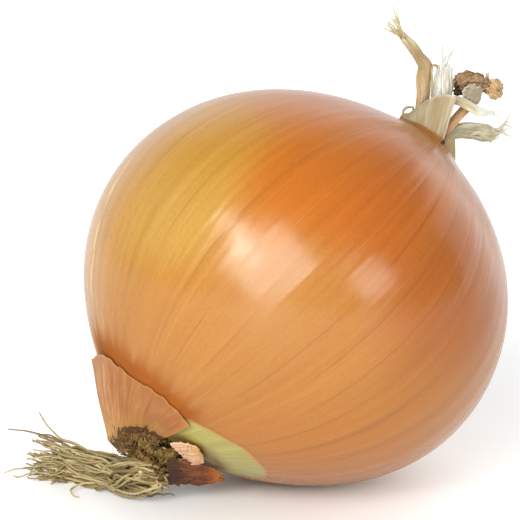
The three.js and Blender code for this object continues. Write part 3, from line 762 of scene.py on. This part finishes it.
scraps = {
    "skinScrapPale": {"upper": ((164.2, 84, 1.4), (160, 88, 1), (156.8, 96, 0.8)),
                      "lower": ((165, 122, 1.6), (162, 121, 1.5), (159.4, 118, 0.9)), "torn": 0.06},
    "skinScrapRed": {"upper": ((168.6, 100, 2.2), (160.5, 119, 1.2), (155.4, 144, 0.8)),
                     "lower": ((169.4, 148, 5.4), (160.5, 151, 3.6), (154.6, 156, 1.5)), "torn": 0.2},
}


def makeScrap(name, seed):
    # a loft between two edges given as psi, theta and lift, with torn ends and fine ridges
    s, t = spread(60, 60)
    far = s * (1 - ragged(t, seed, scraps[name]["torn"], 5))
    side = 0.5 + (t - 0.5) * (1 - ragged(s, seed + 1, scraps[name]["torn"], 4))
    upper, lower = (smoothPath(scraps[name][edge], far) for edge in ("upper", "lower"))
    mix = upper + (lower - upper) * side[..., None]
    lift = mix[..., 2] - 0.2 + 0.06 * ripple(t * 40 + s * 3, s * 2, seed, 0.7, 2)
    lift = lift + 0.14 * ripple(t * 4, s * 3, seed + 2)
    lift = lift - 0.3 * smoothStep(0.3, 0, np.abs(ripple(t * 6 + s * 2, s * 8, seed + 3)))
    point = overBulb(radians(mix[..., 0]), radians(mix[..., 1]), lift)
    # what would be inside the plate's dome lies on it instead
    size = np.array([plate["radius"], plate["radius"], plate["height"]]) - 0.9
    deep = norm((point - plateMiddle) / size, axis=-1, keepdims=True)
    point = plateMiddle + (point - plateMiddle) * maximum(1, (1 + 0.03 * (lift[..., None] - 1)) / deep)
    return sheets(name, [point], 0.28, {"foot": far.ravel()})


flapFoot = {"tear": 11, "yellowing": (9, 2), "browning": (2.4, 1), "flecking": (0.8, -1.5),
            "yellow": (0.42, 0.25, 0.09), "brown": (0.07, 0.032, 0.006), "straw": (0.24, 0.15, 0.045)}
flapFinish = dryFinish(
    "papery torn skin", (0.44, 0.24, 0.11), (0.33, 0.13, 0.04), (0.5, 0.26, 0.11), 1.6, spots=(0.3, 0.11, 0.03),
    spotShare=0.4, foot=flapFoot, over=[("turn", 0.2, 0.6, (0.8, 0.66, 0.42), "MULTIPLY")])
paleSkinFinish = dryFinish(
    "pale torn skin", (0.66, 0.5, 0.36), (0.5, 0.27, 0.14), (0.66, 0.48, 0.32), 1, 0.7, spotShare=0,
    over=[("foot", 0.4, 0.85, (0.52, 0.28, 0.12))])
redFinish = dryFinish(
    "red torn skin", (0.25, 0.068, 0.014), (0.065, 0.016, 0.004), (0.2, 0.06, 0.012), 1.2, 0.5,
    (0.03, 0.011, 0.004), 0.9,
    over=[("foot", 0.55, 0.85, (0.44, 0.13, 0.016)), ("foot", 0.45, 0, (0.28, 0.34, 0.45), "MULTIPLY")])
placeOn(makeFlap(), flapFinish, "flap_skin", "skin_flap")
placeOn(makeScrap("skinScrapPale", 41), paleSkinFinish, "pale_skin", "skin_scrap_pale")
placeOn(makeScrap("skinScrapRed", 47), redFinish, "red_skin", "skin_scrap_red")
print("the torn skins are done")


# dried leaves at the neck; points are [along, rise, side] from the neck pole

facingFront = np.array([0, 1, 0])
leafWall = 0.22
skirtShare = 0.4


def wrapped(key, seed):
    # ridged lines from a low curve to a high one, bowed out from the neck's axis; a skirt in mm carries on
    # under the low curve and spreads onto the bulb
    shape = necks[key]
    s, t = spread(*shape["grid"], -skirtShare)
    base, top = smoothPath(fromNeck(shape["low"]), t), smoothPath(fromNeck(shape["high"]), t)
    below = clip(-s / skirtShare, 0, 1)
    s = maximum(s, 0)
    point = base + (top - base) * (s * (1 - ragged(t, seed, shape["torn"], 9)))[..., None]
    outward = unit(point * (1, 1, 0))
    wide = norm(np.diff(top[0], axis=0), axis=-1).sum()
    ridges = ripple(t * wide * 5, s * 1.5, seed, 0.6, 2) + 2 * ripple(t * wide * 1.2, s * 2, seed + 1)
    out = shape["bow"] * sin(pi * s) + shape["ridge"] * ridges * (1 - below) + 0.7 * shape["skirt"] * below
    point = point + outward * out[..., None]
    return point - np.array([0, 0, shape["skirt"]]) * below[..., None]


def blade(spine, widths, curls, rows, columns, seed, reach=None, ridge=0.07, wave=0.15, torn=0.05):
    # a strip along a spline, rolled round its own long axis, with ridges along it and a torn end
    s, t = spread(rows, columns)
    place = s * (reach(t) if reach else 1) * (1 - ragged(t, seed, torn, 3))
    point, _, across, outward = pathFrames(fromNeck(spine), place, facingFront)
    curl = radians(maximum(graded(curls, place), 1))
    width = graded(widths, place)
    radius, angle = width / curl, curl * (t - 0.5)
    ridges = ridge * ripple(t * width.max() * 5, place * 3, seed, 0.6, 2) + wave * ripple(t * 2, place * 9, seed + 1)
    deep = radius * (cos(angle) - 1) + ridges
    return point + across * (radius * sin(angle))[..., None] + outward * deep[..., None]


foldGrid, frayGrid = (50, 10), (24, 5)


def fray(path, width, seed):
    # a thin tapering shred
    shred = [width, 0.8 * width, 0.5 * width, 0.12]
    return blade(path, shred, (90, 60), *frayGrid, seed, None, 0.03, 0.05, 0)


necks = {
    "collar": {
        "low": ((0.3, 6.2, -4.8), (-0.2, 8.2, -2), (0.2, 7.9, 1), (0.6, 6.8, 3.4), (1, 4.9, 5), (1.5, 2.8, 5.8)),
        "high": ((1.2, 6.4, -4.8), (0.8, 8.2, -3), (1.8, 8.3, -1.2), (5.6, 8.5, 0.5), (8.2, 7.7, 2.3), (9.3, 6.3, 3.8)),
        "bow": 0.3, "ridge": 0.08, "torn": 0.045, "skirt": 1.7, "grid": (70, 220),
    },
    "wrap": {
        "low": ((2, 1.6, 4.2), (1.8, -0.4, 4.4), (1.7, -2.6, 3.5), (1.6, -4, 1.8), (1.6, -4.2, -0.3)),
        "high": ((3.6, 1.2, 2.7), (4.3, 0.3, 2.3), (4.7, -0.7, 1.5), (4.3, -1.6, 0.9), (3.9, -2.3, 0)),
        "bow": 0.1, "ridge": 0.06, "torn": 0.06, "skirt": 2.2, "grid": (50, 140),
    },
    "grey": ((10.9, 2.3, 1.8), (12.2, 2.7, 1.7), (13.5, 3.3, 1.6), (14.7, 4.2, 1.5)),
    "stem": ((3.3, 0.5, -0.6), (5.9, 0.7, -0.7), (9.5, 0.9, -0.7), (12.7, 1, -0.6)),
    "left": {
        "spine": ((2, 4.8, -1.2), (4.6, 7.4, -1.4), (6.3, 9.3, -1.3), (8.1, 11.3, -1.2), (9.5, 12.8, -0.9),
                  (9.6, 15.1, -0.5), (9.5, 17.9, 0), (9.3, 20.4, 0.4), (9, 22.6, 0.6)),
        "widths": (2.9, 3.1, 3.1, 3.1, 3.3, 2.6, 2.4, 2, 1.3), "curls": (70, 90, 80, 100, 120, 80, 60),
        "folds": (((6.5, 7.5, -0.9), (8.4, 9.4, -1), (9.9, 11.7, -0.8), (10.7, 12.2, -0.7), (11.2, 11.8, -0.7),
                   (11, 11, -0.7)),), "foldWidth": 0.5,
        "frays": (((9.2, 21, 0.5), (9.8, 23.9, 0.7), (10.4, 26, 0.9), (11, 27.5, 1)),
                  ((9.2, 20.8, 0.4), (9.6, 23, 0.5), (10.4, 24.8, 0.6), (10.9, 26, 0.6))),
        "strands": (13, 4.2, 1.3, 0.42),
    },
    "middle": {
        "spine": ((2.8, 1.9, -2.3), (5.4, 2.2, -2.3), (8.1, 4.1, -2.5), (9.9, 6, -2.5), (11.6, 7.8, -2.6),
                  (13.2, 9.3, -2.7), (14.6, 10.5, -2.7)),
        "widths": (2, 3.4, 4.5, 4.5, 4, 3.3, 1.9), "curls": (70, 60, 50, 40, 30),
        "folds": (((6.6, 3.2, -1.8), (9, 5.4, -1.9), (11.4, 8.2, -2), (12.9, 10.2, -2.2)),), "foldWidth": 0.9,
        "frays": (((11.3, 8.2, -2.7), (13.5, 11.4, -2.5), (16.1, 14.5, -2.3)),),
        "strands": (7, 2.2, 0.3, 0.5),
    },
    "upper": {
        "spine": ((7.4, 5.6, 1.6), (9.3, 4.8, 2), (10.4, 2.6, 2.5), (11.1, 0.5, 2.7), (12.2, -1.2, 2.5),
                  (13.7, -2.8, 2)),
        "widths": (1.8, 1.7, 1.8, 1.9, 1.4, 0.4), "curls": (50, 40, 40),
        "strands": (3, 1.2, 1.4, 0.5),
    },
    "lower": {
        "spine": ((3.1, -1.9, -2.1), (5, -1.4, -1.9), (7.6, -2.4, -1.6), (9.4, -4.1, -1.3), (11, -6.1, -1.1),
                  (12.4, -7.6, -1), (13.9, -8.1, -0.9)),
        "widths": (1.4, 2.4, 3.2, 3.4, 3.7, 2.6, 1.3), "curls": (90, 80, 60, 60, 40),
        "folds": (((8.2, -4, -1), (9.8, -4.8, -0.9), (10.4, -6.7, -0.8), (10.8, -8.3, -0.7)),
                  ((7, -0.9, -1.6), (9, -2.2, -1.2), (11.4, -4.2, -1))), "foldWidth": 0.9,
        "frays": (((13, -7.2, -0.9), (15.7, -7.2, -0.8), (18.9, -5.9, -0.6)),
                  ((13.2, -7.6, -0.9), (15, -7.7, -0.9), (16, -9.3, -0.8))),
        "strands": (6, 2.4, 1.6, 0.45),
    },
    "tip": {
        "path": ((11.6, 5.7, -0.8), (13.6, 4.5, -0.9), (15.4, 2.9, -0.9), (16.6, 1.4, -0.9), (17.4, 0.4, -0.9)),
        "radii": (1.7, 2.1, 1.9, 1.2, 0.9), "flatness": 0.75, "grid": (90, 160), "wall": 0.16,
        "sheaths": ((1, 300, 0), (0.72, 330, 2)), "bristles": 26,
        "rosette": (17.7, -0.5, -0.6), "rosetteRadius": 2, "rosetteGrid": (40, 160),
    },
    "loop": ((1.8, 6.2, -2.6), (0.9, 6.9, -3.6), (1.1, 8, -3.8), (2.1, 8.6, -3.4), (3, 8.2, -2.8), (2.6, 7.3, -2.4)),
    "crumb": ((1.2, 3.7, 4.7), (1.1, 3.1, 5.3), (0.9, 2.6, 5.7), (1.1, 2.1, 5.7)),
}


def strands(spine, wide, seed, count, reach, fan, width):
    # thin strips that start side by side behind a leaf's last part and fan out past its end
    rng = np.random.default_rng(seed)
    spine = np.asarray(spine, float)
    end, ahead = spine[-1], unit(spine[-1] - spine[-2])
    sideways = np.array([ahead[1], -ahead[0], 0])
    grids = []
    for i in range(count):
        out = sideways * ((i + 0.5) / count - 0.5) * wide
        far = reach * rng.uniform(0.4, 1)
        bend = rng.normal(0, 0.2, 3)
        path = [0.6 * spine[-3] + 0.4 * spine[-2] + 0.8 * out - (0, 0, 0.9), end + out - (0, 0, 0.2 + 0.1 * (i % 4)),
                end + ahead * 0.5 * far + out * (1 + 0.6 * fan) + bend,
                end + ahead * far + out * (1 + fan) + 2.2 * bend]
        grids.append(fray(path, width * rng.uniform(0.7, 1.1), seed + i))
    return grids


def makeLeaf(name, key, seed, rows, columns, reach=None, torn=0.05):
    # a blade, narrow folds beside it and the strands of its torn end; foot runs from 0 to 1 up the blade
    leaf = necks[key]
    grids = [blade(leaf["spine"], leaf["widths"], leaf["curls"], rows, columns, seed, reach, 0.1, 0.25, torn)]
    folded = np.array((0.3, 0.9, 0.9, 0.35)) * leaf.get("foldWidth", 1)
    grids += [blade(path, folded, (60, 80), *foldGrid, seed + 20 + i, None, 0.06, 0.1)
              for i, path in enumerate(leaf.get("folds", ()))]
    feet = [linspace(0, 1, rows).repeat(columns)] + [np.full(np.prod(foldGrid), 0.3)] * (len(grids) - 1)
    thin = [fray(path, 0.45, seed + 5 + i) for i, path in enumerate(leaf.get("frays", ()))]
    thin += strands(leaf["spine"], leaf["widths"][-1], seed + 40, *leaf["strands"])
    feet += [linspace(0.75, 1.2, frayGrid[0]).repeat(frayGrid[1])] * len(thin)
    return sheets(name, grids + thin, leafWall, {"foot": concatenate(feet)})


def makeTip():
    # two crumpled sheaths round a short path, one in the other, with bristles, and a rosette at the far end
    tip = necks["tip"]
    grids, feet = [], []
    for layer, (wide, wrap, turn) in enumerate(tip["sheaths"]):
        s, t = spread(*tip["grid"])
        point, tangent, across, outward = pathFrames(fromNeck(tip["path"]), s, facingFront)
        angle = radians(wrap * (t - 0.5)) + turn
        folds = 0.2 * sin(7 * angle + 4 * s) + 0.4 * (np.abs(ripple(angle * 4, s * 11, 61 + layer)) - 0.6)
        folds = folds - 0.26 * np.abs(ripple(angle * 11, s * 22, 64 + layer)) + 0.14 * ripple(angle * 3, s * 30, 67)
        radius = (graded(tip["radii"], s) * (1 + 0.1 * sin(3 * angle)) + folds) * wide
        scallop = 0.5 * sin(6 * angle) * (s - 0.3) + 0.7 * ragged(t, 63 + layer, 1, 11) * (1 - s) ** 6
        point = point + tangent * (scallop + 0.25 * ripple(angle * 5, s * 12, 70))[..., None]
        point = point + across * (radius * sin(angle))[..., None]
        grids.append(point + outward * (radius * cos(angle) * tip["flatness"])[..., None])
        high = (across @ axes[:, 2]) * sin(angle)   # the end is hollow, and painted shade darkens its lower side
        feet.append((0.5 * s + 0.3 * smoothStep(-0.3, 0.4, high)).ravel())
    rng = np.random.default_rng(75)
    for i in range(tip["bristles"]):
        foot = smoothPath(tip["path"], np.array([rng.uniform(0.3, 0.9)]))[0]
        turn = rng.uniform(0, 2 * pi)
        out = np.array([cos(turn), sin(turn), 0.3 * rng.normal()])
        path = [foot + out * (0.9 + 0.35 * k) + 0.25 * k * rng.normal(0, 0.5, 3) for k in range(4)]
        grids.append(fray(path, 0.6 * rng.uniform(0.6, 1.2), 200 + i))
        feet.append(np.full(np.prod(frayGrid), rng.uniform(0.1, 0.5)))
    for layer, size in enumerate((1, 0.68)):   # the rosette: two scalloped domes that face the front
        s, t = spread(*tip["rosetteGrid"], 0.04)
        angle = radians(352 * t) + layer
        edge = 1.06 + 0.1 * sin(2 * angle + 1) - 0.16 * ragged(t, 77 + layer, 1, 13)
        edge = edge + 0.05 * ripple(angle * 3, s, 79)
        reach = tip["rosetteRadius"] * size * s * edge
        deep = 1.1 - 1.2 * s ** 2 + 0.12 * s * sin(13 * angle + 3 * s)
        deep = deep + 0.35 * s * ripple(angle * 3, s * 5, 81 + layer)
        point = stack([reach * cos(angle), deep + 0.5 * layer, reach * sin(angle)], axis=-1)
        grids.append(point + fromNeck(tip["rosette"]))
        feet.append(1.2 - 0.9 * (1 - s.ravel()) ** 2)
    return sheets("neckTip", grids, tip["wall"], {"foot": concatenate(feet)})


def makeStem():
    place = linspace(0, 1, 40)
    path = toWorld(smoothPath(fromNeck(necks["stem"]), place))
    radii = 0.95 * (1 + 0.05 * sin(9 * place)) * (1 - 0.25 * smoothStep(0.85, 1, place))
    return tubes("neckStem", [(path, radii, 0.5)], 28, 0.06)


def stemFinish():
    finish, surface = newFinish("dried stem")
    streaks = noise(attribute("lie", "Vector"), (1, 0.25, 5))
    tone = mixed(between(streaks, 0.35, 0.7), (0.44, 0.21, 0.07), (0.62, 0.38, 0.18))
    settle(surface, tone, 0.5, 0.5, streaks, 0.4, 0.2)
    return finish


def footOf(key):
    # from below 0 at the end of a wrapped piece's skirt to 1 at its top
    rows, columns = necks[key]["grid"]
    return np.repeat(linspace(-skirtShare, 1, rows), columns)


def scalloped(depth, turns, phase=0):
    # how far a blade reaches along its torn end, as a share of the whole
    return lambda t: 1 - depth + depth * cos(turns * t + phase)


collar, loopGrid = necks["collar"], (60, 14)
loop = blade(necks["loop"], (0.35, 0.45, 0.5, 0.4), (60, 90), *loopGrid, 72)
# side runs from 0 to 1 across the collar; the finish multiplies it darker towards 0 as painted shade
sideways = np.tile(linspace(0, 1, collar["grid"][1]), collar["grid"][0])
collarValues = {"foot": np.append(footOf("collar"), np.full(np.prod(loopGrid), 0.6)),
                "side": np.append(sideways, np.full(np.prod(loopGrid), 0.7))}
# the side band is painted shade, darker towards one end of the collar; the foot band turns the skirt orange-brown
collarFinish = dryFinish(
    "pale dried collar", (0.44, 0.38, 0.255), (0.28, 0.21, 0.105), (0.56, 0.5, 0.38), 0.9, 0.3,
    (0.26, 0.15, 0.05), 0.5,
    over=[("side", 0.55, 0, (0.94, 0.8, 0.6), "MULTIPLY"), ("foot", 0.12, -0.2, (0.27, 0.1, 0.015))])
placeOn(sheets("neckCollar", [wrapped("collar", 71), loop], leafWall, collarValues), collarFinish,
        "dry_leaf_tan", "neck_collar")
wrapFinish = dryFinish("dried leaf at the neck", (0.46, 0.37, 0.19), (0.3, 0.2, 0.08), (0.5, 0.4, 0.2),
                       over=[("foot", 0, -0.3, (0.3, 0.12, 0.03))])
placeOn(sheets("neckWrap", [wrapped("wrap", 73)], leafWall, {"foot": footOf("wrap")}), wrapFinish,
        "dry_leaf_tan", "neck_wrap")
crumbFinish = dryFinish("dark torn foot", (0.12, 0.06, 0.015), (0.04, 0.02, 0.005), (0.1, 0.05, 0.012))
crumb = blade(necks["crumb"], (0.7, 1.1, 0.8, 0.4), (90, 60), 30, 8, 74)
placeOn(sheets("neckCrumb", [crumb], 0.3), crumbFinish, "dry_leaf_tan", "neck_wrap")
greyFinish = dryFinish("grey papery scrap", (0.4, 0.35, 0.25), (0.25, 0.205, 0.13), (0.7, 0.67, 0.6), 1.2)
grey = blade(necks["grey"], (1.9, 3.9, 4.5, 4, 2), (50, 70), 40, 60, 75, scalloped(0.05, 9, pi), 0.08, 0.2, 0.1)
placeOn(sheets("neckScrapGrey", [grey], leafWall), greyFinish, "dry_leaf_grey", "neck_scrap_grey")

tanFinish = dryFinish(
    "dried tan leaf", (0.46, 0.38, 0.21), (0.31, 0.19, 0.08), (0.36, 0.27, 0.12), 2, 0.45, (0.16, 0.11, 0.03), 0.8,
    over=[("foot", 0.7, 1.2, (0.6, 0.55, 0.36))])
whiteFinish = dryFinish(
    "silvery dried leaf", (0.86, 0.86, 0.8), (0.52, 0.48, 0.36), (0.86, 0.86, 0.82), 3, 0.2, (0.5, 0.45, 0.33), 0.2)
stripFinish = dryFinish("dried pale strip", (0.5, 0.44, 0.28), (0.34, 0.27, 0.14), (0.56, 0.52, 0.38), 2,
                        over=[("foot", 0.3, 0.9, (0.68, 0.67, 0.58))])
paleFinish = dryFinish(
    "dried pale leaf", (0.54, 0.52, 0.39), (0.34, 0.29, 0.16), (0.6, 0.58, 0.48), 2, 0.5, (0.24, 0.16, 0.07), 0.8,
    over=[("foot", 0.95, 1.15, (0.62, 0.61, 0.52))])
# near black where foot is low: painted shade in the hollow at the sheaths' near end and on their lower side
brownFinish = dryFinish(
    "dried brown tip", (0.52, 0.36, 0.18), (0.12, 0.055, 0.02), (0.5, 0.36, 0.2), 1.2,
    over=[("foot", 0.75, 1, (0.48, 0.32, 0.165)), ("foot", 0.2, 0.05, (0.05, 0.022, 0.008))])
placeOn(makeLeaf("neckLeafLeft", "left", 81, 100, 40, None, 0.12), tanFinish, "dry_leaf_tan", "neck_leaf_left")
placeOn(makeLeaf("neckLeafMiddle", "middle", 84, 80, 60, scalloped(0.07, 17), 0.16), whiteFinish,
        "dry_leaf_pale", "neck_leaf_middle")
placeOn(makeLeaf("neckStripUpper", "upper", 87, 60, 24), stripFinish, "dry_leaf_pale", "neck_strip_upper")
placeOn(makeLeaf("neckStripLower", "lower", 90, 80, 50, scalloped(0.05, 11), 0.12), paleFinish,
        "dry_leaf_pale", "neck_strip_lower")
placeOn(makeTip(), brownFinish, "dry_leaf_brown", "neck_tip")
placeOn(makeStem(), stemFinish(), "dry_leaf_orange", "neck_stem")
print("the neck is done")
